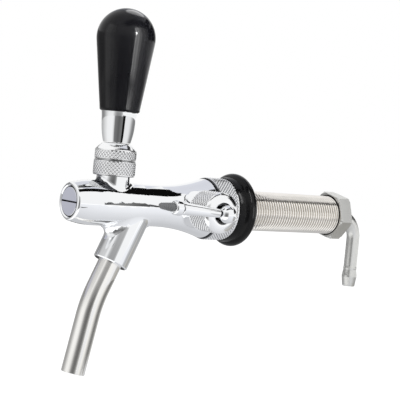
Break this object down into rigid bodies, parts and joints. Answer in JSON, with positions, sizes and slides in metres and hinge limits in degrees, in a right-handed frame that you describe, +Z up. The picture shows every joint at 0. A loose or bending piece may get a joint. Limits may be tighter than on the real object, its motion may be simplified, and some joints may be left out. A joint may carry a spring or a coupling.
{
  "type": "flow control beer faucet",
  "caption": "Chrome flow control beer faucet with a black tilting handle, a bent spout, a side lever that sets the flow, and a long threaded shank with flange, lock nut and bent hose tail.",
  "frame": {"origin": "on the shank's axis, in the plane where the wall flange meets the wall", "axes": "+Y runs along the shank through the wall, from the front plug to the hose tail; +X points to the flow lever's side; +Z is up, along the handle at rest"},
  "size_m": [0.0629, 0.2105, 0.1947],
  "materials": {
    "chrome": "polished chrome plate",
    "knurled_chrome": "diamond knurled chrome plate",
    "polished_steel": "polished stainless steel",
    "spout_steel": "fine drawn stainless steel",
    "thread_nickel": "bright nickel plate",
    "satin_nickel": "satin nickel plate",
    "black_grip": "smooth black plastic",
    "black_flange": "glossy black plastic",
    "dark_tip": "ribbed dark grey plastic",
    "white_plastic": "white plastic",
    "brass": "machined",
    "seal_rubber": "smooth rubber"
  },
  "bodies": {
    "fixed": {"faucet_body": "chrome", "front_plug": "chrome", "front_plug_seal": "seal_rubber", "ball_seat": "white_plastic", "ball_oring": "seal_rubber", "friction_washer": "white_plastic", "neck_lock_ring": "knurled_chrome", "bonnet_nut": "knurled_chrome", "spout_tube": "spout_steel", "spout_oring": "seal_rubber", "gland_washer": "white_plastic", "flow_gland_nut": "knurled_chrome", "snap_ring": "polished_steel", "shank_gasket": "seal_rubber", "shank": "thread_nickel", "wall_flange": "black_flange", "hose_tail": "satin_nickel"},
    "handle": {"lever_spindle": "polished_steel", "handle_ferrule": "chrome", "handle_insert": "brass", "handle_grip": "black_grip"},
    "plunger": {"plunger": "polished_steel", "plunger_oring": "seal_rubber", "valve_seal": "seal_rubber", "seal_retainer": "polished_steel", "seal_nut": "polished_steel"},
    "flow_control": {"flow_spindle": "chrome", "spindle_orings": "seal_rubber", "flow_lever": "chrome", "flow_lever_knob": "chrome", "flow_lever_tip": "dark_tip"},
    "cone": {"compensator_cone": "white_plastic"},
    "coupling": {"coupling_nut": "knurled_chrome"},
    "clamp_nut": {"lock_nut": "satin_nickel"}
  },
  "joints": [
    {"name": "handle_tilt", "type": "hinge", "parent": "fixed", "child": "handle", "pos_m": [0, -0.0854, 0.021], "axis": [1, 0, 0], "range_deg": [0, 20]},
    {"name": "plunger_slide", "type": "slide", "parent": "fixed", "child": "plunger", "axis": [0, 1, 0], "range_m": [0, 0.0075]},
    {"name": "flow_lever_turn", "type": "hinge", "parent": "fixed", "child": "flow_control", "pos_m": [0, -0.0361, 0], "axis": [1, 0, 0], "range_deg": [-50, 50]},
    {"name": "flow_cone_slide", "type": "slide", "parent": "fixed", "child": "cone", "axis": [0, 1, 0], "range_m": [-0.0025, 0.0025]},
    {"name": "coupling_nut_spin", "type": "hinge", "parent": "fixed", "child": "coupling", "pos_m": [0, -0.018, 0], "axis": [0, 1, 0], "continuous": true},
    {"name": "lock_nut_travel", "type": "slide", "parent": "fixed", "child": "clamp_nut", "axis": [0, 1, 0], "range_m": [-0.06, 0.001]}
  ],
  "couplings": [
    {"joint": "plunger_slide", "follows": "handle_tilt", "m_per_rad": 0.0208},
    {"joint": "flow_cone_slide", "follows": "flow_lever_turn", "m_per_rad": 0.0028}
  ]
}
